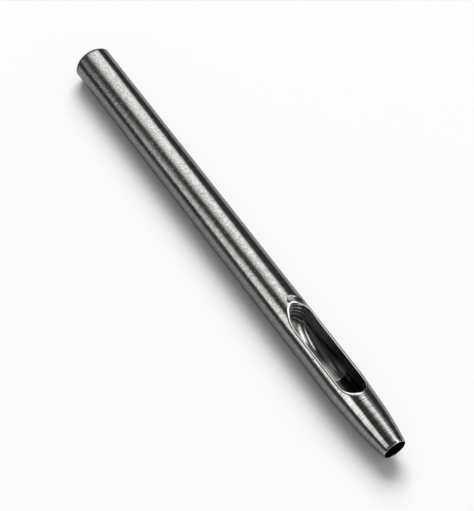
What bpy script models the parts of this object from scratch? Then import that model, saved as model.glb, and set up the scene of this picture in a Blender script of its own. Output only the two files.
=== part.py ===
"""Drive hole punch: one bar of tool steel, struck on its flat head and cutting with its hollow tip.

The punch lies along X, from the struck head at -X to the cutting edge at +X, with its slug window
facing +Z. The origin is on the surface that it lies on, under the middle of its length. Metres.
"""

import math

import bpy

# The bar
BAR_RADIUS = 0.0047625
PUNCH_LENGTH = 0.1295
HEAD_CHAMFER = 0.0008

# The ground point: a slender cone, then a curve that steepens down to the cutting edge
CONE_LENGTH = 0.0190
CONE_SLOPE = 0.055
CURVE_LENGTH = 0.0114
EDGE_RADIUS = 0.00294

# The bore: just inside the cutting edge it opens out, so that a slug of leather comes loose
MOUTH_RADIUS = 0.00278
MOUTH_LAND = 0.0012
BORE_RADIUS = 0.0029
RELIEF_LENGTH = 0.0070
BORE_DEPTH = 0.0275
DRILL_POINT_ANGLE = math.radians(118)

# The slug window: a milled trough with oval ends, open at the top of the bar
WINDOW_START = 0.08765
WINDOW_END = 0.1153
WINDOW_HALF_WIDTH = 0.00305
WINDOW_HEAD_OVAL = 0.0064
WINDOW_TIP_OVAL = 0.0042
TROUGH_END = 0.10705
TROUGH_STEP = 0.0003
TROUGH_SHALLOW = 0.51
TROUGH_RAMP = 0.0130

# How finely the round stretches are cut
TURN_STEPS = 72
CURVE_POINTS = 9
OVAL_STATIONS = 9
RAMP_STATIONS = 7
FLOOR_POINTS = 17
SHARP_ANGLE = math.radians(30)

# How far the cutters stand out of the bar
OVERSHOOT = 0.001

STEEL_COLOUR = (0.36, 0.355, 0.35, 1.0)
STEEL_ROUGHNESS = 0.34


def clear_scene():
    """Remove whatever the opened file holds."""
    for scene_object in list(bpy.data.objects):
        bpy.data.objects.remove(scene_object, do_unlink=True)


def make_collection(name):
    """A new collection, linked to the scene."""
    collection = bpy.data.collections.new(name)
    bpy.context.scene.collection.children.link(collection)
    return collection


def make_steel():
    """Bright, bare tool steel."""
    steel = bpy.data.materials.new("tool_steel")
    steel.use_nodes = True
    shader = steel.node_tree.nodes["Principled BSDF"]
    shader.inputs["Base Color"].default_value = STEEL_COLOUR
    shader.inputs["Metallic"].default_value = 1.0
    shader.inputs["Roughness"].default_value = STEEL_ROUGHNESS
    return steel


def half_turn_step():
    """Half the angle of one facet. The turned pieces start here, so a flat facet faces down."""
    return math.pi / TURN_STEPS


def bar_underside():
    """How far below the bar's axis its lowest facet is."""
    return BAR_RADIUS * math.cos(half_turn_step())


def apply_modifiers(piece):
    """Give a piece the mesh that its modifiers make, in place of the modifiers."""
    evaluated = piece.evaluated_get(bpy.context.evaluated_depsgraph_get())
    outline = piece.data
    piece.data = bpy.data.meshes.new_from_object(evaluated)
    piece.modifiers.clear()
    bpy.data.meshes.remove(outline)


def shade(mesh):
    """Shade the round stretches smooth, and leave the corners sharp."""
    mesh.shade_smooth()
    mesh.set_sharp_from_angle(angle=SHARP_ANGLE)


def turned(name, profile, collection):
    """Turn a profile of (distance from the head, radius) about the punch's axis.

    The profile runs from the tip's end to the head's end, so that the faces point out.
    """
    start = half_turn_step()
    vertices = []
    for distance, radius in profile:
        vertices.append((radius * math.cos(start), radius * math.sin(start), distance))
    edges = [(index, index + 1) for index in range(len(vertices) - 1)]
    mesh = bpy.data.meshes.new(name)
    mesh.from_pydata(vertices, edges, [])
    piece = bpy.data.objects.new(name, mesh)
    collection.objects.link(piece)
    screw = piece.modifiers.new("turn", "SCREW")
    screw.axis = "Z"
    screw.angle = math.tau
    screw.steps = TURN_STEPS
    screw.render_steps = TURN_STEPS
    screw.use_merge_vertices = True
    screw.merge_threshold = 0.00001
    apply_modifiers(piece)
    shade(piece.data)
    piece.rotation_euler = (0.0, math.pi / 2, 0.0)
    piece.location = (-PUNCH_LENGTH / 2, 0.0, bar_underside())
    return piece


def point_radius(distance):
    """The bar's outer radius at a distance from the head: bar, cone, then the curved point."""
    cone_start = PUNCH_LENGTH - CONE_LENGTH
    radius = BAR_RADIUS - CONE_SLOPE * max(0.0, distance - cone_start)
    radius_left = BAR_RADIUS - CONE_SLOPE * CONE_LENGTH - EDGE_RADIUS
    along_curve = max(0.0, distance - (PUNCH_LENGTH - CURVE_LENGTH)) / CURVE_LENGTH
    return radius - radius_left * along_curve ** 2


def make_bar(collection):
    """The solid bar, with its chamfered head and its ground point."""
    profile = [(PUNCH_LENGTH, 0.0)]
    for step in range(CURVE_POINTS + 1):
        distance = PUNCH_LENGTH - CURVE_LENGTH * step / CURVE_POINTS
        profile.append((distance, point_radius(distance)))
    profile.append((PUNCH_LENGTH - CONE_LENGTH, BAR_RADIUS))
    profile.append((HEAD_CHAMFER, BAR_RADIUS))
    profile.append((0.0, BAR_RADIUS - HEAD_CHAMFER))
    profile.append((0.0, 0.0))
    return turned("punch_body", profile, collection)


def make_bore_cutter(collection):
    """The drill's shape: a short parallel land, the relief, the bore and the drill's point."""
    bore_end = PUNCH_LENGTH - BORE_DEPTH
    drill_point = BORE_RADIUS / math.tan(DRILL_POINT_ANGLE / 2)
    profile = [
        (PUNCH_LENGTH + OVERSHOOT, 0.0),
        (PUNCH_LENGTH + OVERSHOOT, MOUTH_RADIUS),
        (PUNCH_LENGTH - MOUTH_LAND, MOUTH_RADIUS),
        (PUNCH_LENGTH - MOUTH_LAND - RELIEF_LENGTH, BORE_RADIUS),
        (bore_end, BORE_RADIUS),
        (bore_end - drill_point, 0.0),
    ]
    return turned("bore_cutter", profile, collection)


def oval(distance, length):
    """Height of a quarter ellipse, from 0 at its tip to 1 where it is length away or further."""
    along = min(1.0, max(0.0, distance / length))
    return math.sqrt(1.0 - (1.0 - along) ** 2)


def window_half_width(distance):
    """Half the window's width at a distance from the head."""
    head_end = oval(distance - WINDOW_START, WINDOW_HEAD_OVAL)
    tip_end = oval(WINDOW_END - distance, WINDOW_TIP_OVAL)
    return WINDOW_HALF_WIDTH * min(head_end, tip_end)


def trough_depth(distance):
    """How far below the axis the trough's middle reaches: it deepens down a ramp from its start."""
    along_ramp = min(1.0, (distance - WINDOW_START) / TROUGH_RAMP)
    share = 1.0 - (1.0 - TROUGH_SHALLOW) * (1.0 - along_ramp) ** 2
    return WINDOW_HALF_WIDTH * share


def floor_depth(distance, side):
    """How far below the axis the window reaches. side is the place across, from -1 to 1."""
    if distance > TROUGH_END:
        return 0.0
    width_share = window_half_width(distance) / WINDOW_HALF_WIDTH
    return trough_depth(distance) * width_share * math.sqrt(max(0.0, 1.0 - side ** 2))


def window_stations():
    """Distances from the head where the window's outline is set out, closest on its oval ends."""
    stations = []
    for step in range(1, OVAL_STATIONS + 1):
        turn = math.pi / 2 * step / OVAL_STATIONS
        stations.append(WINDOW_START + WINDOW_HEAD_OVAL * (1.0 - math.cos(turn)))
    ramp_from = stations[-1]
    for step in range(1, RAMP_STATIONS + 1):
        stations.append(ramp_from + (TROUGH_END - ramp_from) * step / RAMP_STATIONS)
    stations.append(TROUGH_END + TROUGH_STEP)
    for step in range(OVAL_STATIONS, 0, -1):
        turn = math.pi / 2 * step / OVAL_STATIONS
        stations.append(WINDOW_END - WINDOW_TIP_OVAL * (1.0 - math.cos(turn)))
    return stations


def make_window_cutter(collection):
    """The milled window: a loft of U-shaped sections with unlike widths and depths."""
    top = BAR_RADIUS + OVERSHOOT
    axis_height = bar_underside()
    vertices = []
    for distance in window_stations():
        half_width = window_half_width(distance)
        x = distance - PUNCH_LENGTH / 2
        vertices.append((x, -half_width, axis_height + top))
        for step in range(FLOOR_POINTS):
            side = -math.cos(math.pi * step / (FLOOR_POINTS - 1))
            depth = floor_depth(distance, side)
            vertices.append((x, half_width * side, axis_height - depth))
        vertices.append((x, half_width, axis_height + top))
    ring = FLOOR_POINTS + 2
    sections = len(vertices) // ring
    faces = [tuple(reversed(range(ring)))]
    for section in range(sections - 1):
        first = section * ring
        for index in range(ring):
            following = (index + 1) % ring
            faces.append((first + index, first + following,
                          first + ring + following, first + ring + index))
    faces.append(tuple(range((sections - 1) * ring, sections * ring)))
    mesh = bpy.data.meshes.new("window_cutter")
    mesh.from_pydata(vertices, [], faces)
    shade(mesh)
    cutter = bpy.data.objects.new("window_cutter", mesh)
    collection.objects.link(cutter)
    return cutter


def cut(piece, cutter):
    """Take a cutter's shape out of a piece."""
    cutter.hide_render = True
    cutter.display_type = "WIRE"
    difference = piece.modifiers.new("cut_" + cutter.name, "BOOLEAN")
    difference.operation = "DIFFERENCE"
    difference.solver = "EXACT"
    difference.object = cutter


def main():
    clear_scene()
    parts = make_collection("drive_hole_punch")
    cutters = make_collection("cutters")
    punch = make_bar(parts)
    punch.data.materials.append(make_steel())
    cut(punch, make_bore_cutter(cutters))
    cut(punch, make_window_cutter(cutters))


main()
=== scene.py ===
"""Drive hole punch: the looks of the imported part.

One bar of tool steel lies along X, from its struck head at -X to its hollow cutting edge at +X, with
the slug window facing +Z. A fine mesh stands for the CAD node, with a rounded window rim, a milled
trough, a stepped bore and a thin cutting edge. Metres.
"""

import math
from collections import namedtuple

import bmesh
import bpy
from mathutils import Matrix, Vector


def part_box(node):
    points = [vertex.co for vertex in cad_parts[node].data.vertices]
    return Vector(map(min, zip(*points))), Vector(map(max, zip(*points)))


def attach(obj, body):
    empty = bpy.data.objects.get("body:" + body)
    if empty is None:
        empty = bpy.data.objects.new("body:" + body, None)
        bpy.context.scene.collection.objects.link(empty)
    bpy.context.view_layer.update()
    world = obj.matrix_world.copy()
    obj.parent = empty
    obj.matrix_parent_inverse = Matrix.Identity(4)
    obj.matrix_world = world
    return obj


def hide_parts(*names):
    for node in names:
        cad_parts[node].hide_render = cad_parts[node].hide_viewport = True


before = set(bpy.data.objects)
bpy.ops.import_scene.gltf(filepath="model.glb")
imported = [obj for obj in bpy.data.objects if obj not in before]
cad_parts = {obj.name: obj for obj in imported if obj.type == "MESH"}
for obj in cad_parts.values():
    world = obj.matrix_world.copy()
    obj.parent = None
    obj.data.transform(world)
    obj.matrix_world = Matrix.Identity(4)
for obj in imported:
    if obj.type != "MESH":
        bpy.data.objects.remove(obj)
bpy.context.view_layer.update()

MM = 0.001

# Where the bar is: its head's face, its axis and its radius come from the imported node
node_low, node_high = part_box("punch_body")
HEAD_X = node_low.x
AXIS_Z = (node_low.z + node_high.z) / 2
BAR_RADIUS = (node_high.z - node_low.z) / 2
LENGTH = node_high.x - node_low.x

# The struck head
HEAD_CHAMFER = 0.8 * MM

# The ground point: a slender cone, then a curve that steepens down to the cutting edge
CONE_START = LENGTH - 19.0 * MM
CONE_SLOPE = 0.055
CURVE_START = LENGTH - 11.4 * MM
EDGE_RADIUS = 2.94 * MM
EDGE_BEVEL = 0.08 * MM
EDGE_BEVEL_LENGTH = 0.6 * MM
CURVE_FALL = BAR_RADIUS - CONE_SLOPE * (LENGTH - CONE_START) - EDGE_RADIUS

# The window's outline, seen from above
WINDOW_START = 87.65 * MM
WINDOW_END = 115.3 * MM
WINDOW_HALF_WIDTH = 3.05 * MM
HEAD_OVAL = 6.4 * MM
TIP_OVAL = 4.2 * MM

# The window's broken edge: a flat with a rounding on its outer and its inner side
RIM_WIDTH = 0.36 * MM
RIM_ROUNDING = 0.12 * MM
NEAR_ROUNDING = 0.17 * MM
INNER_ROUNDING = 0.08 * MM
INNER_DROP = 0.10 * MM
HEAD_RIM_TILT = 0.10
TOP_RIM_TILT = 0.26

# Its rings, counted from the outside: which lie on its flat and which on its inner edge, the way the
# inner edge faces where it is cut back, and how much painted shade the first rings get along the near side
RIM_RINGS = 7
FLAT_RINGS = (3, 4)
INNER_RINGS = (4, 5)
INNER_NORMAL = Vector((0.3, 0.1, 1.0)).normalized()
NEAR_PAINTED_SHADE = (0.8, 1.0, 0.8)

# The shallow facet that the cutter left before the window
FACET_REACH = 1.2 * MM
FACET_FADE = 6.0 * MM
FACET_SLOPE = 0.24
FACET_STEP = 0.09 * MM
PLAIN_REACH = 0.25 * MM

# The trough, and the level steps that the cutter left on the wall at its head end, as
# (ring on the wall, height above the axis)
TROUGH_END = 107.05 * MM
TROUGH_START_DEPTH = 1.55 * MM
TROUGH_RAMP = 13.0 * MM
TROUGH_START_ROUND = 0.75 * MM
LEDGES = tuple((4 + 5 * step, (3.4 - 1.15 * step) * MM) for step in range(4))
LEDGE_WIDTH = 0.10 * MM
FAR_CHATTER = 1.65 * MM
NEAR_CHATTER = 1.0 * MM
CHATTER_WIDTH = 0.22 * MM
CHATTER_NORMAL = Vector((1.0, 0.0, 0.9)).normalized()

# The bore
BORE_RADIUS = 2.9 * MM
RELIEF_START = LENGTH - 8.2 * MM
LAND_START = LENGTH - 1.2 * MM
MOUTH_RADIUS = 2.78 * MM
STEP_BEVEL = 0.05 * MM
CORNER_BEVEL = 0.12 * MM

# The mesh. Its field is the stretch of the outside round the window, whose rings follow the outline
AROUND = 96
TURN_STEP = math.tau / AROUND
END_STEPS = 18
HEAD_OVAL_STEPS = 20
TROUGH_STEPS = 40
BORE_STEPS = 12
TIP_OVAL_STEPS = 20
FIELD_RINGS = 12
FACET_RINGS = 10
WALL_RINGS = 26
SHANK_RINGS = 24
RELIEF_STEPS = 8
FIELD_FROM = WINDOW_START - 5.5 * MM
FIELD_TO = WINDOW_END + 3.2 * MM

# A length too small to matter
HAIR = 1e-9

# The differently finished parts of the surface, and where shade and highlights are painted
ZONES = ("rim", "facet", "wall", "floor", "painted_floor_highlights", "bore", "edge_painted_shade")

# A place on the outline: its distance from the head, its half width, the outline's normal along the bar
# and across it, and how far out from it the rim and then the facet reach
Place = namedtuple("Place", "distance half along across outward reach")


def smooth(share):
    """0 to 1 with level ends."""
    share = min(1.0, max(0.0, share))
    return share * share * (3 - 2 * share)


def rise(value, start, end):
    """0 up to start and 1 from end on, with level ends."""
    return smooth((value - start) / (end - start))


def bell(value, centre, width):
    """1 at the centre, and near 0 from about twice the width away."""
    return math.exp(-((value - centre) / width) ** 2)


def curve(ends, share):
    """A point on the quadratic curve of three (out, height) points."""
    weights = ((1 - share) ** 2, 2 * share * (1 - share), share ** 2)
    return tuple(sum(weight * end[axis] for weight, end in zip(weights, ends)) for axis in (0, 1))


def outer_radius(distance):
    """The bar's outer radius at a distance from the head: bar, cone, then the curved point."""
    radius = BAR_RADIUS - CONE_SLOPE * max(0.0, distance - CONE_START)
    along = max(0.0, distance - CURVE_START) / (LENGTH - CURVE_START)
    return radius - CURVE_FALL * along ** 2


def outer_slope(distance):
    """How fast the outer radius falls with distance from the head."""
    slope = CONE_SLOPE if distance > CONE_START else 0.0
    return slope + 2 * CURVE_FALL * max(0.0, distance - CURVE_START) / (LENGTH - CURVE_START) ** 2


def surface_height(distance, y):
    """Height of the outer surface above the axis."""
    return math.sqrt(max(0.0, outer_radius(distance) ** 2 - y ** 2))


def oval_station(end, toward_middle, length, turn):
    """A station on one of the window's oval ends. toward_middle is 1 at the head end and -1 at the tip
    end, and turn is 0 at the oval's own end and a quarter turn where the sides start."""
    along = -toward_middle * WINDOW_HALF_WIDTH * math.cos(turn)
    across = length * math.sin(turn)
    size = math.hypot(along, across)
    return (end + toward_middle * length * (1 - math.cos(turn)),
            WINDOW_HALF_WIDTH * math.sin(turn), along / size, across / size)


def window_stations():
    """(distance, half width, outline normal along the bar, outline normal across) down the window."""
    quarter = math.pi / 2
    stations = []
    for step in range(HEAD_OVAL_STEPS):
        stations.append(oval_station(WINDOW_START, 1, HEAD_OVAL, quarter * step / HEAD_OVAL_STEPS))
    trough_from, bore_from = WINDOW_START + HEAD_OVAL, TROUGH_END + STEP_BEVEL
    for step in range(TROUGH_STEPS + 1):
        distance = trough_from + (TROUGH_END - trough_from) * step / TROUGH_STEPS
        stations.append((distance, WINDOW_HALF_WIDTH, 0.0, 1.0))
    for step in range(BORE_STEPS):
        distance = bore_from + (WINDOW_END - TIP_OVAL - bore_from) * step / BORE_STEPS
        stations.append((distance, WINDOW_HALF_WIDTH, 0.0, 1.0))
    for step in range(TIP_OVAL_STEPS + 1):
        stations.append(oval_station(WINDOW_END, -1, TIP_OVAL, quarter * (1 - step / TIP_OVAL_STEPS)))
    return stations


def skew(distance, y):
    """How far out of its plain outline the window's upper edge was cut, at a place on that outline:
    the far side is fuller at both ends, and the near side slimmer."""
    x, from_end, side = (distance - WINDOW_START) / MM, (WINDOW_END - distance) / MM, y / MM
    if side > 0:
        head = 0.9 * bell(x, 3.1, 2.0) * rise(side, 0.0, 1.0)
        tip = 0.24 * rise(from_end, 4.76, 1.36) * rise(side, 1.2, 2.2)
        return (head + tip) * MM
    head = 0.2 * rise(side, 0.0, -0.7) * (1 - rise(x, 1.8, 4.2))
    tip = 0.18 * rise(side, 0.0, -1.2) * (1 - rise(from_end, 1.2, 3.2))
    return -(head + tip) * MM


def rim_width(distance, y):
    """How wide the broken edge is: widest round the tip end and on the head end's near side, and
    narrowest along the far side."""
    x, from_end, side = (distance - WINDOW_START) / MM, (WINDOW_END - distance) / MM, y / MM
    head = (1 - rise(x, 0.0, 5.5)) * rise(side, 1.4, -1.0)
    tip = rise(from_end, 3.2, 0.6) * rise(side, 1.4, -0.6)
    return RIM_WIDTH * (1 + 0.8 * tip - 0.22 * rise(side, 1.8, 2.8) + 0.6 * head)


def rim_tilt(y, along):
    """How much more than the bar the broken edge slopes in to the window: most over the head end's
    middle, and not at all on its near side."""
    top = TOP_RIM_TILT * bell(y / MM, 0.5, 0.6)
    return (top + HEAD_RIM_TILT * rise(y / MM, -1.0, 1.5)) * smooth(-along / 0.3)


def rim_rounding(y):
    """The size of the rounding between the broken edge and the outside: larger on the near side."""
    return RIM_ROUNDING + (NEAR_ROUNDING - RIM_ROUNDING) * rise(y / MM, 1.0, -2.0)


def facet_width(distance, y):
    """How far the shallow facet reaches out from the rim beside a place on the outline."""
    fade = 1 - smooth((distance - WINDOW_START) / FACET_FADE)
    far = 1 - 0.8 * rise(y / MM, 1.6, 2.6)
    return FACET_REACH * fade * far * rise(y / MM, -0.9, 0.3) + PLAIN_REACH


def facet_drop(reach, share=1.0):
    """How far the facet is sunk at a share of the way in to the rim: a small step, then a slope."""
    past_plain = reach - PLAIN_REACH
    depth = FACET_SLOPE * share * max(0.0, past_plain)
    return depth + FACET_STEP * smooth(share / 0.3) * smooth(past_plain / (0.8 * MM))


def trough_bottom(distance):
    """How far below the axis the trough's middle is."""
    along = min(1.0, (distance - WINDOW_START) / TROUGH_RAMP)
    return WINDOW_HALF_WIDTH - (WINDOW_HALF_WIDTH - TROUGH_START_DEPTH) * (1 - along) ** 2


def in_trough(distance):
    """Whether a station is over the trough, and not over the open part of the bore."""
    return distance <= TROUGH_END + HAIR


def ledge_fade(distance):
    """How strong the cutter's level steps are: they fade out along the walls."""
    return 1 - rise((distance - WINDOW_START) / MM, 1.0, 3.6)


def wall_place(ring, top, foot, distance):
    """(height, outward offset) of a ring on the wall. At the head end the cutter left level steps."""
    height = top + (foot - top) * ring / WALL_RINGS
    fade = ledge_fade(distance)
    knots = [(0, top, 0.0)]
    for at, level in LEDGES:
        knots += [(at - 1, level + 0.05 * MM, LEDGE_WIDTH), (at, level + 0.02 * MM, LEDGE_WIDTH),
                  (at + 1, level - 0.01 * MM, 0.0), (at + 2, level - 0.04 * MM, 0.0)]
    knots.append((WALL_RINGS, foot, 0.0))
    for first, second in zip(knots, knots[1:]):
        if first[0] <= ring <= second[0]:
            along = (ring - first[0]) / (second[0] - first[0])
            stepped = first[1] + (second[1] - first[1]) * along
            out = first[2] + (second[2] - first[2]) * along
    return height + (stepped - height) * fade, out * fade


def chatter(ring, distance, half, side):
    """How much of a place on the wall is one of the cutter's chatter dashes, which stand in a
    column on each side of the head end. Their brightness is partly a painted highlight."""
    if ring not in [at + step for at, _ in LEDGES for step in (0, 1)]:
        return 0.0
    dash = ledge_fade(distance) * bell(half, FAR_CHATTER if side > 0 else NEAR_CHATTER, CHATTER_WIDTH)
    return dash if dash > 0.1 else 0.0


def bright_stroke_centre(x):
    """Where the broad bright stroke, a painted highlight, lies across the floor, x millimetres into the
    window.
    """
    return 0.2 + 1.27 * math.exp(-(x - 2.75) / 2.3)


def ridge(distance, y):
    """How much of a place on the floor is the thin ridge that curves along beside the broad painted stroke.
    Its brightness is painted too.
    """
    x = (distance - WINDOW_START) / MM
    centre = 1.0 + 1.46 * math.exp(-(x - 2.83) / 3.1)
    return rise(x, 1.6, 3.0) * (1 - rise(x, 8.0, 11.0)) * bell(y / MM, centre, 0.16)


def ridge_normal(distance):
    """The way the ridge's crest faces: it leans as the floor does under the broad painted stroke."""
    lean = bright_stroke_centre((distance - WINDOW_START) / MM) * MM / WINDOW_HALF_WIDTH
    fall = (trough_bottom(distance + 0.1 * MM) - trough_bottom(distance)) / (0.1 * MM)
    return Vector((fall, -lean, 1.0)).normalized()


def floor_highlight_paint(distance, y):
    """How much painted highlight the trough's floor gets, standing in for the lights it reflects: two
    curved strokes at the head end, a short one near the bore, a patch of long bright scratches before it, a
    paler far side and a brighter start."""
    x, across = (distance - WINDOW_START) / MM, y / MM
    stroke = rise(x, 1.6, 3.0) * (1 - rise(x, 5.6, 8.2))
    bright = 1.2 * stroke * bell(across, bright_stroke_centre(x), 0.36) + ridge(distance, y)
    short = rise(x, 14.4, 15.4) * (1 - rise(x, 16.6, 17.4))
    bright += 0.9 * short * bell(across, 1.7, 0.15)
    patch = rise(x, 12.4, 15.4) * (1 - rise(across, 1.3, 2.6))
    bright += (0.20 + 0.2 * rise(across, 0.7, 1.7)) * patch
    painted_pale_side = smooth((across - 1.9 + 0.9 * rise(x, 3.0, 9.0)) / 0.7)
    rough = 1 - rise(x, 1.0, 3.6)
    return min(1.0, bright + 0.2 * painted_pale_side + 0.30 * rough)


class Mesh:
    """Vertices, faces, exact normals for the vertices that don't take the mesh's own, and zones: how far
    each vertex belongs to a differently finished part of the surface, or to a painted shade or a painted
    highlight."""

    def __init__(self):
        self.points = []
        self.faces = []
        self.exact = {}
        self.zones = {name: {} for name in ZONES}

    def add(self, distance, y, z, turned=False):
        """A vertex at a distance from the head, y across and z above the axis. turned gives it the
        turned outside's exact normal."""
        self.points.append((distance, y, z))
        if turned:
            across = math.hypot(y, z)
            normal = Vector((outer_slope(distance), y / across, z / across)).normalized()
            self.exact[len(self.points) - 1] = normal
        return len(self.points) - 1

    def add_around(self, distance, radius, step, turned=False):
        """A vertex that many steps round the bar from its top, counted towards -y."""
        turn = step * TURN_STEP
        return self.add(distance, -radius * math.sin(turn), radius * math.cos(turn), turned)

    def circle(self, distance, radius, turned=False):
        """A whole ring of vertices round the bar."""
        return [self.add_around(distance, radius, step, turned) for step in range(AROUND)]

    def mark(self, zone, row, share=1.0):
        """Give a row of vertices to a zone."""
        for vertex in row:
            self.zones[zone][vertex] = share

    def bridge(self, first, second, closed=True):
        """Faces between two rows of vertices. Vertices that both rows share make triangles."""
        count = len(first)
        for index in range(count if closed else count - 1):
            after = (index + 1) % count
            corners = (first[index], first[after], second[after], second[index])
            face = tuple(dict.fromkeys(corners))
            if len(face) > 2:
                self.faces.append(face)

    def bridge_all(self, rows):
        """Faces between each closed row and the next."""
        for first, second in zip(rows, rows[1:]):
            self.bridge(first, second)


class Punch(Mesh):
    """The punch's mesh. Round the window it is made of rings. A ring has a vertex beside each station on
    the +y side (side 1), then back along the -y side (side -1), and one at each end of the window."""

    def __init__(self):
        super().__init__()
        self.stations = window_stations()
        self.last = len(self.stations) - 1
        self.loop = [(index, 1) for index in range(self.last + 1)]
        self.loop += [(index, -1) for index in range(self.last - 1, 0, -1)]
        self.places = {(index, side): self.rim_place(index, side) for index, side in self.loop}

        field = self.add_field()
        rings = field + self.add_facet()
        rim, wall_tops = self.add_rim()
        walls = self.add_walls(wall_tops)
        self.bridge_all(rings + rim + walls)
        end_row = self.add_floor(dict(zip(self.loop, walls[-1])))
        mouth = self.add_bore(end_row)
        self.add_outside(dict(zip(self.loop, field[0])), mouth)

    def rim_place(self, index, side):
        """The place beside a station where the window's upper edge was cut."""
        distance, half, along, across = self.stations[index]
        width, reach = rim_width(distance, half * side), facet_width(distance, half * side)
        out = skew(distance, half * side)
        distance, half = distance + along * out, half + across * out
        return Place(distance, half, along, across, width + rim_rounding(half * side), reach)

    def field_edge(self, index):
        """Where the field's outer edge is beside a station: distance and turn from the top."""
        if index <= END_STEPS:
            return FIELD_FROM, index * TURN_STEP
        if index >= self.last - END_STEPS:
            return FIELD_TO, (self.last - index) * TURN_STEP
        share = (index - END_STEPS) / (self.last - 2 * END_STEPS)
        return FIELD_FROM + (FIELD_TO - FIELD_FROM) * share, END_STEPS * TURN_STEP

    def add_field(self):
        """Rings from the field's edge in to the facet's edge, on the turned outside."""
        rings = []
        for ring in range(FIELD_RINGS + 1):
            share = (ring / FIELD_RINGS) ** 0.8
            row = []
            for index, side in self.loop:
                from_distance, from_turn = self.field_edge(index)
                place = self.places[(index, side)]
                out = place.outward + place.reach
                to_distance = place.distance + place.along * out
                to_y = place.half + place.across * out
                to_turn = math.asin(min(1.0, to_y / outer_radius(to_distance)))
                distance = from_distance + (to_distance - from_distance) * share
                turn = (from_turn + (to_turn - from_turn) * share) * side
                radius = outer_radius(distance)
                row.append(self.add(distance, radius * math.sin(turn), radius * math.cos(turn), True))
            rings.append(row)
        return rings

    def add_facet(self):
        """Rings over the facet, in to the rim's outer edge."""
        rings = []
        for ring in range(1, FACET_RINGS + 1):
            share = ring / FACET_RINGS
            row = []
            for index, side in self.loop:
                place = self.places[(index, side)]
                out = place.outward + place.reach * (1 - share)
                distance, y = place.distance + place.along * out, place.half + place.across * out
                height = surface_height(distance, y) - facet_drop(place.reach, share)
                row.append(self.add(distance, y * side, height))
                self.mark("facet", row[-1:], smooth((place.reach - PLAIN_REACH) / (0.5 * MM)))
            rings.append(row)
        return rings

    def rim_profile(self, place, side):
        """Points over the broken edge: its outer rounding, its flat, and its inner rounding."""
        y = place.half * side
        rounding = rim_rounding(y)
        width = place.outward - rounding

        def outer(out):
            distance, across = place.distance + place.along * out, place.half + place.across * out
            return surface_height(distance, across) - facet_drop(place.reach)

        def flat(out):
            return outer(width) - (width - out) * rim_tilt(y, place.along)

        ends = ((place.outward, outer(place.outward)), (width, outer(width)),
                (width - rounding, flat(width - rounding)))
        profile = [curve(ends, share) for share in (0.25, 0.5, 0.75, 1.0)]
        ends = ((INNER_ROUNDING, flat(INNER_ROUNDING)), (0.0, flat(0.0)), (0.0, flat(0.0) - INNER_DROP))
        profile += [curve(ends, share) for share in (0.0, 0.5, 1.0)]
        return [(place.distance + place.along * out, (place.half + place.across * out) * side, height)
                for out, height in profile]

    def flat_normal(self, place, side):
        """The way the rim's flat faces: it slopes by its tilt towards the window and follows the bar
        along the rim."""
        y = place.half * side
        tilt = rim_tilt(y, place.along)
        slope_x = tilt * place.along - outer_slope(place.distance) * place.across ** 2
        slope_y = tilt * place.across * side - y / outer_radius(place.distance) * place.along ** 2
        return Vector((-slope_x, -slope_y, 1.0)).normalized()

    def add_rim(self):
        """Rings over the broken edge, and the height of the wall's top beside each station."""
        profiles = {at: self.rim_profile(self.places[at], at[1]) for at in self.loop}
        rings = []
        for ring in range(RIM_RINGS):
            row = [self.add(*profiles[at][ring]) for at in self.loop]
            rings.append(row)
            for vertex, (index, side) in zip(row, self.loop):
                along, y = self.stations[index][2], self.points[vertex][1]
                if ring in FLAT_RINGS:
                    self.exact[vertex] = self.flat_normal(self.places[(index, side)], side)
                if ring in INNER_RINGS and along < -0.25 and y > 0.8 * MM:
                    # The head end's far side is cut back along its inner edge, and faces as its middle does
                    self.exact[vertex] = INNER_NORMAL
                # Along the near side the outer rounding gets less of the rim's brighter tone and a painted
                # shade instead
                near_to = -2.0 * MM if along < 0 else 0.6 * MM
                near = smooth((near_to - y) / MM)
                self.mark("rim", [vertex], 1 - near if ring < 2 else 1.0)
                painted_shade = NEAR_PAINTED_SHADE[ring] if ring < len(NEAR_PAINTED_SHADE) else 0.0
                self.mark("edge_painted_shade", [vertex], painted_shade * near)
        return rings, {at: profile[-1][2] for at, profile in profiles.items()}

    def section(self, index):
        """The hollow's section under a station: the height of the wall's foot, and the round bottom's
        half width, centre height, depth and turn to either side of straight down."""
        distance, half = self.stations[index][:2]
        if in_trough(distance):
            along = smooth((distance - WINDOW_START) / TROUGH_RAMP)
            round_depth = TROUGH_START_ROUND + (WINDOW_HALF_WIDTH - TROUGH_START_ROUND) * along
            depth = trough_bottom(distance)
            round_depth = min(depth, round_depth)
            return round_depth - depth, half, round_depth - depth, round_depth, math.pi / 2
        if half >= BORE_RADIUS:
            foot, turn = CORNER_BEVEL, math.pi / 2
        else:
            foot = math.sqrt(BORE_RADIUS ** 2 - half ** 2) + CORNER_BEVEL
            turn = math.pi - math.asin(half / BORE_RADIUS)
        return foot, BORE_RADIUS, 0.0, BORE_RADIUS, turn - CORNER_BEVEL / BORE_RADIUS

    def add_walls(self, wall_tops):
        """Rings down the walls, to where the trough's round bottom or the bore starts."""
        rings = []
        for ring in range(1, WALL_RINGS + 1):
            row = []
            for index, side in self.loop:
                distance, half, along, across = self.stations[index]
                foot = self.section(index)[0]
                height, out = wall_place(ring, wall_tops[(index, side)], foot, distance)
                out += skew(distance, half * side) * smooth(1 - ring / WALL_RINGS)
                vertex = self.add(distance + along * out, (half + across * out) * side, height)
                row.append(vertex)
                dash = chatter(ring, distance, half, side)
                if dash > 0:
                    self.exact[vertex] = CHATTER_NORMAL
                # The chatter dashes take part of the rim's brighter tone, a painted highlight
                self.mark("wall", [vertex], 1 - dash)
                self.mark("rim", [vertex], 0.6 * dash)
                # Towards the bore the walls are darker: a painted shade, deeper in the hollow
                deep = rise((self.points[vertex][0] - WINDOW_START) / MM, 9.0, 17.0)
                self.mark("bore", [vertex], 0.9 * deep)
            rings.append(row)
        return rings

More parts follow.
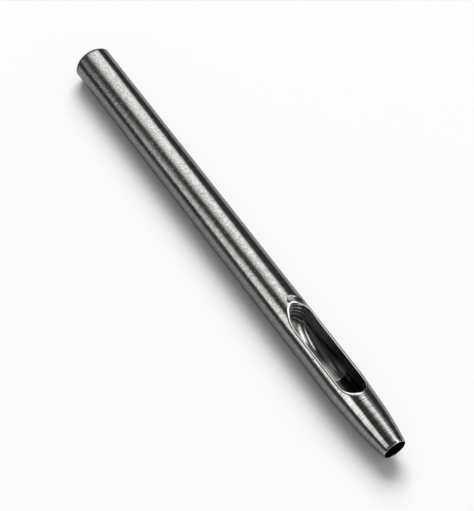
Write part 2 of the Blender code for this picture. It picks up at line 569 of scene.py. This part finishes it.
    def floor_row(self, index):
        """The points across the round bottom under a station."""
        distance = self.stations[index][0]
        foot, width, centre, depth, turn_limit = self.section(index)
        count = AROUND - 1
        if index == 0:
            # The window's very end is a line down its middle, and both sides share it
            steps = range(1, (count - 1) // 2 + 2)
            turns = [-math.pi / 2 * (1 - step / steps[-1]) for step in steps]
            line = [self.add(distance, 0.0, centre - depth * math.cos(turn)) for turn in turns]
            self.mark("floor", line)
            return line + line[-2::-1]
        if index == self.last:
            turns = [-math.pi + (step + 1) * TURN_STEP for step in range(count)]
        elif in_trough(distance):
            turns = [-turn_limit + 2 * turn_limit * (step + 1) / (count + 1) for step in range(count)]
        else:
            turns = [-turn_limit + 2 * turn_limit * step / (count - 1) for step in range(count)]
        row = [self.add(distance, width * math.sin(turn), centre - depth * math.cos(turn))
               for turn in turns]
        if not in_trough(distance):
            # The open part of the bore gets a painted shade
            self.mark("bore", row)
            return row
        self.mark("floor", row)
        for vertex in row:
            y = self.points[vertex][1]
            # Painted highlights on the floor: bright strokes, a patch of scratches and a paler far side
            self.mark("painted_floor_highlights", [vertex], floor_highlight_paint(distance, y))
            if ridge(distance, y) > 0.3:
                self.exact[vertex] = ridge_normal(distance)
        return row

    def add_floor(self, feet):
        """The trough's floor and the open part of the bore. feet are the walls' lowest vertices. Gives
        the ring where the closed bore starts."""
        rows = [self.floor_row(index) for index in range(self.last + 1)]
        bore_top = self.add(WINDOW_END + CORNER_BEVEL, 0.0, BORE_RADIUS)
        # The bore's top gets the bore's painted shade
        self.mark("bore", [bore_top])
        for index in range(self.last):
            self.bridge(rows[index], rows[index + 1], closed=False)
            at_end = index + 1 == self.last
            for side, end in ((-1, 0), (1, -1)):
                foot_here = feet[(index, side if index else 1)]
                foot_after = feet[(index + 1, 1 if at_end else side)]
                here, after = rows[index][end], rows[index + 1][end]
                sides = [(foot_here, foot_after, bore_top if at_end else after, here)]
                if at_end:
                    sides.append((here, bore_top, after))
                for corners in sides:
                    self.faces.append(corners if side == -1 else tuple(reversed(corners)))
        return [bore_top] + rows[self.last]

    def add_bore(self, first_row):
        """The closed bore out to the mouth, the thin cutting edge and its bevel."""
        rows = [first_row]
        profile = []
        bore_from = WINDOW_END + 0.4 * MM
        for step in range(RELIEF_STEPS + 1):
            profile.append((bore_from + (RELIEF_START - bore_from) * step / RELIEF_STEPS, BORE_RADIUS))
        for step in range(1, RELIEF_STEPS + 1):
            share = step / RELIEF_STEPS
            profile.append((RELIEF_START + (LAND_START - RELIEF_START) * share,
                            BORE_RADIUS + (MOUTH_RADIUS - BORE_RADIUS) * share))
        profile += [(LAND_START + 0.15 * MM, MOUTH_RADIUS), (LENGTH - 0.6 * MM, MOUTH_RADIUS),
                    (LENGTH - 0.03 * MM, MOUTH_RADIUS)]
        inside = len(profile)
        profile += [(LENGTH, MOUTH_RADIUS + 0.01 * MM), (LENGTH - 0.07 * MM, EDGE_RADIUS - EDGE_BEVEL)]
        bevel_rise = outer_radius(LENGTH - EDGE_BEVEL_LENGTH) - EDGE_RADIUS + EDGE_BEVEL
        for share in (0.17, 0.35, 0.7, 0.94):
            profile.append((LENGTH - EDGE_BEVEL_LENGTH * share,
                            EDGE_RADIUS - EDGE_BEVEL + bevel_rise * share))
        for index, (distance, radius) in enumerate(profile):
            rows.append(self.circle(distance, radius))
            if index >= inside:
                # The cutting edge's bevel takes the rim's brighter tone, partly brighter metal and partly a
                # painted highlight
                self.mark("rim", rows[-1])
            else:
                # Inside the bore a painted shade, half as much on the land at the mouth
                self.mark("bore", rows[-1], 1.0 if distance < LAND_START else 0.5)
        self.bridge_all(rows)
        return rows[-1]

    def field_end_row(self, field_edge, at_tip):
        """A whole ring at one end of the field: the field's own edge over the top, then new vertices."""
        distance = FIELD_TO if at_tip else FIELD_FROM
        edge = {}
        for step in range(END_STEPS + 1):
            index = self.last - step if at_tip else step
            edge[-step % AROUND] = field_edge[(index, 1)]
            edge[step] = field_edge[(index, -1)] if step else field_edge[(index, 1)]
        radius = outer_radius(distance)
        return [edge[step] if step in edge else self.add_around(distance, radius, step, True)
                for step in range(AROUND)]

    def add_outside(self, field_edge, mouth):
        """The turned outside: below the field, then out to the tip, then back to the struck head."""
        tip_row = self.field_end_row(field_edge, True)
        head_row = self.field_end_row(field_edge, False)
        below = range(END_STEPS + 1, AROUND - END_STEPS)
        previous = head_row[END_STEPS:AROUND - END_STEPS + 1]
        for index in range(END_STEPS + 1, self.last - END_STEPS):
            distance = self.field_edge(index)[0]
            radius = outer_radius(distance)
            row = [field_edge[(index, -1)]]
            row += [self.add_around(distance, radius, step, True) for step in below]
            row.append(field_edge[(index, 1)])
            self.bridge(row, previous, closed=False)
            previous = row
        self.bridge(tip_row[END_STEPS:AROUND - END_STEPS + 1], previous, closed=False)

        rows = [mouth]
        point_to = LENGTH - EDGE_BEVEL_LENGTH - 0.06 * MM
        for share in (0.0, 0.01, 0.04, 0.09, 0.16, 0.25, 0.36, 0.48, 0.6, 0.72, 0.86):
            distance = point_to - (point_to - FIELD_TO) * share
            rows.append(self.circle(distance, outer_radius(distance), True))
        self.bridge_all(rows + [tip_row])

        rows = [head_row]
        shank_from = HEAD_CHAMFER + 0.7 * MM
        shank = [FIELD_FROM + (shank_from - FIELD_FROM) * (step + 1) / SHANK_RINGS
                 for step in range(SHANK_RINGS)]
        for distance in shank + [HEAD_CHAMFER + 0.22 * MM]:
            rows.append(self.circle(distance, outer_radius(distance), True))
        # The last shank ring gets a painted shade too, next to the head's bevel
        self.mark("edge_painted_shade", rows[-1], 0.8)
        self.add_head(rows)

    def add_head(self, rows):
        """The head's rounded bevel and its flat face, after the shank's rows. The bevel's rows get a
        painted shade, a dark line along the head's edge.
        """
        flat = BAR_RADIUS - HEAD_CHAMFER
        edge_painted_shade = [(HEAD_CHAMFER + 0.06 * MM, BAR_RADIUS - 0.004 * MM, 1.0),
                   (HEAD_CHAMFER - 0.06 * MM, BAR_RADIUS - 0.075 * MM, 1.0),
                   (0.5 * HEAD_CHAMFER, BAR_RADIUS - 0.5 * HEAD_CHAMFER, 0.5),
                   (0.1 * MM, flat + 0.11 * MM, 0.5),
                   (0.03 * MM, flat + 0.01 * MM, 0.5),
                   (0.0, flat - 0.12 * MM, 1.0)]
        face = [(0.0, flat * share, 0.0) for share in (0.85, 0.65, 0.45, 0.25, 0.1)]
        for distance, radius, painted_shade in edge_painted_shade + face:
            rows.append(self.circle(distance, radius))
            self.mark("edge_painted_shade", rows[-1], painted_shade)
        self.bridge_all(rows)
        centre = self.add(0.0, 0.0, 0.0)
        for step in range(AROUND):
            self.faces.append((rows[-1][step], rows[-1][(step + 1) % AROUND], centre))


def make_steel():
    """Ground tool steel: a fine speckle with pits on the shank, ground streaks on the point and milling
    lines in the window. Painted into its tone: highlights on the broken edges (partly brighter metal), on
    the chatter dashes and in strokes on the trough's floor, and shade in the trough, in the bore and along
    the head's and the rim's dark edges."""
    steel = bpy.data.materials.new("tool_steel")
    steel.use_nodes = True
    nodes, links = steel.node_tree.nodes, steel.node_tree.links
    shader = nodes["Principled BSDF"]
    place = nodes.new("ShaderNodeTexCoord").outputs["Object"]
    axes = nodes.new("ShaderNodeSeparateXYZ")
    links.new(place, axes.inputs[0])

    def put(socket, value):
        """Give a socket a number, or link it to a value that varies over the surface."""
        if isinstance(value, float):
            socket.default_value = value
        else:
            links.new(value, socket)

    def calc(operation, first, second=0.0, clamp=False):
        """A sum on numbers that vary over the surface."""
        node = nodes.new("ShaderNodeMath")
        node.operation = operation
        node.use_clamp = clamp
        put(node.inputs[0], first)
        put(node.inputs[1], second)
        return node.outputs[0]

    def varied(base, pattern, amount):
        """A base value that varies by an amount with a pattern."""
        return calc("ADD", calc("MULTIPLY", pattern, amount), base)

    def blend(share, first, second):
        """first where share is 0, second where it is 1."""
        node = nodes.new("ShaderNodeMix")
        put(node.inputs["Factor"], share)
        put(node.inputs["A"], first)
        put(node.inputs["B"], second)
        return node.outputs["Result"]

    def zone(name):
        """How far a place belongs to one of the mesh's zones."""
        node = nodes.new("ShaderNodeAttribute")
        node.attribute_name = name
        return node.outputs["Fac"]

    def grain(along, across, detail=2.0):
        """Noise about 0, with that many waves in a metre along the bar and across it."""
        stretch = nodes.new("ShaderNodeVectorMath")
        stretch.operation = "MULTIPLY"
        stretch.inputs[1].default_value = (along, across, across)
        links.new(place, stretch.inputs[0])
        node = nodes.new("ShaderNodeTexNoise")
        node.inputs["Scale"].default_value = 1.0
        node.inputs["Detail"].default_value = detail
        links.new(stretch.outputs[0], node.inputs["Vector"])
        return calc("SUBTRACT", node.outputs["Fac"], 0.5)

    def ramp(value, start, end):
        """0 before start, 1 after end."""
        node = nodes.new("ShaderNodeMapRange")
        node.interpolation_type = "SMOOTHSTEP"
        put(node.inputs["Value"], value)
        node.inputs["From Min"].default_value = start
        node.inputs["From Max"].default_value = end
        return node.outputs["Result"]

    cone_x = HEAD_X + CONE_START
    point = ramp(axes.outputs["X"], cone_x - 1.5 * MM, cone_x + 1.5 * MM)
    rim, facet, wall, floor, painted_floor_highlights, bore, edge_painted_shade = (zone(name) for name in ZONES)
    cut = calc("ADD", wall, floor, True)

    speckle = grain(2600.0, 2600.0, 3.0)
    clouds = grain(900.0, 900.0)
    pits = ramp(grain(1900.0, 1900.0, 1.0), 0.17, 0.24)
    ground = grain(3600.0, 350.0, 3.0)
    milled = grain(250.0, 3400.0, 3.0)

    # How much light the steel sends back
    tone = varied(0.385, speckle, 0.54)
    tone = calc("ADD", tone, calc("MULTIPLY", clouds, 0.26))
    tone = calc("SUBTRACT", tone, calc("MULTIPLY", pits, 0.11))
    tone = blend(point, tone, varied(0.44, ground, 0.7))
    tone = blend(facet, tone, varied(0.55, ground, 1.6))
    # The broken edges are brighter: partly brighter polished metal, partly a painted highlight
    tone = blend(rim, tone, varied(0.64, speckle, 0.8))
    tone = blend(wall, tone, varied(0.37, milled, 0.8))
    # The trough's floor: a dark painted shade, brightened by painted highlights, over the milling texture
    floor_shade_and_highlights = calc("MULTIPLY", varied(0.06, painted_floor_highlights, 0.9), varied(1.0, milled, 2.4), True)
    tone = blend(floor, tone, floor_shade_and_highlights)
    # A painted shade inside the bore and on the walls towards it
    tone = blend(bore, tone, 0.05)
    # A painted shade: a dark line along the head's edge and along the window rim's near side
    tone = blend(edge_painted_shade, tone, varied(0.08, speckle, 0.1))
    colour = nodes.new("ShaderNodeVectorMath")
    colour.operation = "SCALE"
    colour.inputs[0].default_value = (1.0, 0.985, 0.975)
    links.new(tone, colour.inputs["Scale"])
    links.new(colour.outputs[0], shader.inputs["Base Color"])

    # How polished it is
    rough = varied(0.165, clouds, 0.10)
    rough = calc("ADD", rough, calc("MULTIPLY", pits, 0.12))
    rough = blend(point, rough, varied(0.135, ground, 0.12))
    rough = blend(floor, rough, varied(0.24, milled, 0.2))
    rough = blend(wall, rough, 0.5)
    rough = blend(edge_painted_shade, rough, 0.34)
    links.new(rough, shader.inputs["Roughness"])

    # The relief of grain, streaks and milling marks
    height = calc("MULTIPLY", speckle, 0.35)
    height = calc("SUBTRACT", height, calc("MULTIPLY", pits, 0.4))
    height = blend(calc("MAXIMUM", point, facet), height, calc("MULTIPLY", ground, 2.0))
    height = blend(cut, height, milled)
    bump = nodes.new("ShaderNodeBump")
    bump.inputs["Strength"].default_value = 0.35
    bump.inputs["Distance"].default_value = 0.04 * MM
    links.new(height, bump.inputs["Height"])
    links.new(bump.outputs[0], shader.inputs["Normal"])
    shader.inputs["Metallic"].default_value = 1.0
    return steel


def make_punch():
    """The punch itself, in place of its CAD node."""
    built = Punch()
    data = bpy.data.meshes.new("punch")
    points = [(HEAD_X + distance, y, AXIS_Z + z) for distance, y, z in built.points]
    data.from_pydata(points, [], built.faces)
    shell = bmesh.new()
    shell.from_mesh(data)
    bmesh.ops.recalc_face_normals(shell, faces=shell.faces)
    shell.to_mesh(data)
    shell.free()
    data.shade_smooth()
    normals = [vertex.normal.copy() for vertex in data.vertices]
    for index, normal in built.exact.items():
        normals[index] = normal
    data.normals_split_custom_set_from_vertices(normals)
    for name, shares in built.zones.items():
        attribute = data.attributes.new(name, "FLOAT", "POINT")
        for index, share in shares.items():
            attribute.data[index].value = share
    punch = bpy.data.objects.new("punch", data)
    scene.collection.objects.link(punch)
    punch.data.materials.append(make_steel())
    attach(punch, "root")
    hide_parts("punch_body")


# The stage. The camera looks at the punch from its tip end's near side
CAMERA_PLACE = (0.21624, -0.20641, 0.39300)
CAMERA_AIM = (-43.9, 52.7, 12.5)
CAMERA_LENS = 146.18
SENSOR_WIDTH = 36.0

# The main floor ends just outside the camera's view on the punch's left, so that the steel mirrors a
# dark line there. The rest of the floor fills in for views from other sides, and isn't mirrored
FLOOR_OUTLINE = ((-0.104, -0.008, 0), (0.036, -0.089, 0), (0.3, -0.089, 0), (0.6, 0.5, 0),
                 (-0.6, 0.9, 0), (-0.6, -0.008, 0))
FLOOR_HEIGHT = -0.00002
REST_OUTLINE = ((-1.5, -1.5, 0), (1.5, -1.5, 0), (1.5, 1.5, 0), (-1.5, 1.5, 0))
REST_HEIGHT = -0.00003
PAPER_SEEN = 0.85
PAPER_MIRRORED = (0.06, 0.42)
MIRRORED_FROM_TO = (-0.030, -0.016)

# Soft boxes. The ones overhead are level rectangles whose edges run along the camera's right and forward
# directions, and their places are in heights of the box above the floor: name, glow, right from and to,
# forward from and to, and how far each is raised, so that no two lie in one plane
TABLE_RIGHT = Vector((0.7207, 0.6934, 0.0))
TABLE_FORWARD = Vector((-0.6934, 0.7207, 0.0))
LIGHT_HEIGHT = 8.0
KEY_WHITE = (0.96, 0.955, 0.945)
FILL_WHITE = (1.0, 0.99, 0.965)
FLOOR_WHITE = (1.0, 1.0, 1.0)
OVERHEAD_BOXES = (
    ("key", 1.0, (-1.4, 0.11), (0.15, 1.6), 0.0),
    ("key_middle", 0.55, (-1.4, 0.06), (0.29, 1.6), 0.1),
    ("key_core", 0.38, (-1.4, -0.04), (0.42, 1.6), 0.2),
    ("key_side", 1.9, (0.11, 0.5), (0.20, 0.54), 0.3),
    ("key_far", 0.25, (0.14, 0.95), (0.5, 1.0), 0.4),
    ("key_corner", 1.3, (0.5, 1.3), (0.1, 0.72), 0.6),
    ("key_front", 0.14, (-0.22, 0.2), (-0.12, 0.17), 0.7),
    ("key_front_core", 0.12, (-0.18, 0.2), (-0.03, 0.17), 0.8),
)
FLOOR_BOX = ("floor_light", 8.85, (-0.80, 0.17), (0.47, 1.73), 0.5)

# The upright ones stand round the punch: name, glow, azimuths, elevations, colour, and how much
# further away than the first each is
STANDING_BOXES = (
    ("fill", 0.40, (-125.0, -85.0), (8.0, 43.0), FILL_WHITE, 0.0),
    ("fill_left", 0.80, (-120.5, -107.0), (9.0, 46.0), FILL_WHITE, 0.1),
    ("fill_right", 0.80, (-107.0, -85.0), (9.0, 42.5), FILL_WHITE, 0.4),
    ("fill_core", 0.9, (-115.0, -105.0), (7.0, 42.0), FILL_WHITE, 0.2),
    ("fill_top", 0.25, (-122.0, -85.0), (20.0, 40.0), FILL_WHITE, 0.3),
    ("back", 1.6, (-10.0, 60.0), (4.0, 48.0), KEY_WHITE, 0.5),
)

# The room, as the steel mirrors it, as it lights the floor, and as the camera sees it
ROOM = (0.055, 0.055, 0.055, 1.0)
AMBIENT = (0.40, 0.394, 0.401, 1.0)
BACKDROP = (0.94, 0.94, 0.94, 1.0)


def aim(thing, azimuth, elevation, roll=0.0):
    """Turn a thing so that it looks back from that azimuth and elevation. Degrees."""
    azimuth, elevation, roll = map(math.radians, (azimuth, elevation, roll))
    back = Vector((math.cos(azimuth) * math.cos(elevation),
                   math.sin(azimuth) * math.cos(elevation), math.sin(elevation)))
    right = Vector((-math.sin(azimuth), math.cos(azimuth), 0.0))
    up = back.cross(right)
    turned_right = right * math.cos(roll) + up * math.sin(roll)
    turned_up = up * math.cos(roll) - right * math.sin(roll)
    thing.rotation_mode = "QUATERNION"
    thing.rotation_quaternion = Matrix((turned_right, turned_up, back)).transposed().to_quaternion()


def make_camera():
    """The camera. It is turned a little about its own line of sight."""
    data = bpy.data.cameras.new("camera")
    data.lens = CAMERA_LENS
    data.sensor_width = SENSOR_WIDTH
    data.clip_end = 20.0
    camera = bpy.data.objects.new("camera", data)
    scene.collection.objects.link(camera)
    camera.location = CAMERA_PLACE
    aim(camera, *CAMERA_AIM)
    scene.camera = camera


def make_paper():
    """Pale paper. The steel mirrors it darker towards the floor's front edge than the camera sees it."""
    paper = bpy.data.materials.new("paper")
    paper.use_nodes = True
    nodes, links = paper.node_tree.nodes, paper.node_tree.links
    nodes.remove(nodes["Principled BSDF"])
    seen, mirrored = nodes.new("ShaderNodeBsdfDiffuse"), nodes.new("ShaderNodeBsdfDiffuse")
    seen.inputs["Color"].default_value = (PAPER_SEEN, PAPER_SEEN, PAPER_SEEN, 1.0)
    place = nodes.new("ShaderNodeSeparateXYZ")
    links.new(nodes.new("ShaderNodeTexCoord").outputs["Object"], place.inputs[0])
    reach = nodes.new("ShaderNodeMapRange")
    reach.inputs["From Min"].default_value, reach.inputs["From Max"].default_value = MIRRORED_FROM_TO
    reach.inputs["To Min"].default_value, reach.inputs["To Max"].default_value = PAPER_MIRRORED
    links.new(place.outputs["Y"], reach.inputs["Value"])
    links.new(reach.outputs["Result"], mirrored.inputs["Color"])
    path = nodes.new("ShaderNodeLightPath")
    mix = nodes.new("ShaderNodeMixShader")
    links.new(path.outputs["Is Camera Ray"], mix.inputs[0])
    links.new(mirrored.outputs[0], mix.inputs[1])
    links.new(seen.outputs[0], mix.inputs[2])
    links.new(mix.outputs[0], nodes["Material Output"].inputs["Surface"])
    return paper


def make_floor(name, outline, height, paper):
    """A flat piece of floor."""
    data = bpy.data.meshes.new(name)
    data.from_pydata(outline, [], [tuple(range(len(outline)))])
    piece = bpy.data.objects.new(name, data)
    piece.location.z = height
    scene.collection.objects.link(piece)
    piece.data.materials.append(paper)
    return piece


def soft_box(name, glow, width, height, colour):
    """A rectangular light of an even glow that the steel mirrors. glow is its radiance."""
    light = bpy.data.lights.new(name, "AREA")
    light.shape = "RECTANGLE"
    light.size, light.size_y = width, height
    light.energy = glow * math.pi * width * height
    light.color = colour
    lamp = bpy.data.objects.new(name, light)
    scene.collection.objects.link(lamp)
    lamp.visible_diffuse = False
    return lamp


def overhead(name, glow, right, forward, raised, colour):
    """A level soft box between two places to the right and two forward."""
    height = LIGHT_HEIGHT + raised
    width, depth = (right[1] - right[0]) * height, (forward[1] - forward[0]) * height
    lamp = soft_box(name, glow, width, depth, colour)
    across, along = sum(right) / 2 * height, sum(forward) / 2 * height
    lamp.location = TABLE_RIGHT * across + TABLE_FORWARD * along + Vector((0, 0, height))
    lamp.rotation_mode = "QUATERNION"
    axes = Matrix((TABLE_RIGHT, TABLE_FORWARD, Vector((0, 0, 1))))
    lamp.rotation_quaternion = axes.transposed().to_quaternion()
    return lamp


def standing(name, glow, azimuths, elevations, colour, further):
    """An upright soft box between two azimuths and two elevations. Degrees."""
    away = LIGHT_HEIGHT + further
    middle = math.radians(sum(azimuths) / 2)
    half_width = away * math.tan(math.radians(azimuths[1] - azimuths[0]) / 2)
    low, high = (away * math.tan(math.radians(elevation)) for elevation in elevations)
    lamp = soft_box(name, glow, 2 * half_width, high - low, colour)
    lamp.location = (away * math.cos(middle), away * math.sin(middle), (low + high) / 2)
    aim(lamp, sum(azimuths) / 2, 0.0)


def make_lights():
    """The soft boxes, which only the steel mirrors, and one more box, which only lights the floor."""
    for box in OVERHEAD_BOXES:
        overhead(*box, KEY_WHITE)
    floor_light = overhead(*FLOOR_BOX, FLOOR_WHITE)
    floor_light.visible_diffuse = True
    floor_light.visible_glossy = False
    for box in STANDING_BOXES:
        standing(*box)


def make_world():
    """An even room."""
    world = bpy.data.worlds.new("world")
    scene.world = world
    world.use_nodes = True
    nodes, links = world.node_tree.nodes, world.node_tree.links
    surface = nodes["Background"]
    surface.inputs["Color"].default_value = ROOM
    path = nodes.new("ShaderNodeLightPath")
    for ray, colour in (("Is Diffuse Ray", AMBIENT), ("Is Camera Ray", BACKDROP)):
        glow = nodes.new("ShaderNodeBackground")
        glow.inputs["Color"].default_value = colour
        mix = nodes.new("ShaderNodeMixShader")
        links.new(path.outputs[ray], mix.inputs[0])
        links.new(surface.outputs[0], mix.inputs[1])
        links.new(glow.outputs[0], mix.inputs[2])
        surface = mix
    links.new(surface.outputs[0], nodes["World Output"].inputs["Surface"])


scene = bpy.context.scene
make_punch()
make_camera()
stage_paper = make_paper()
floor = make_floor("floor", FLOOR_OUTLINE, FLOOR_HEIGHT, stage_paper)
floor_rest = make_floor("floor_rest", REST_OUTLINE, REST_HEIGHT, stage_paper)
floor_rest.visible_glossy = False
make_lights()
make_world()
scene.view_settings.view_transform = "Standard"
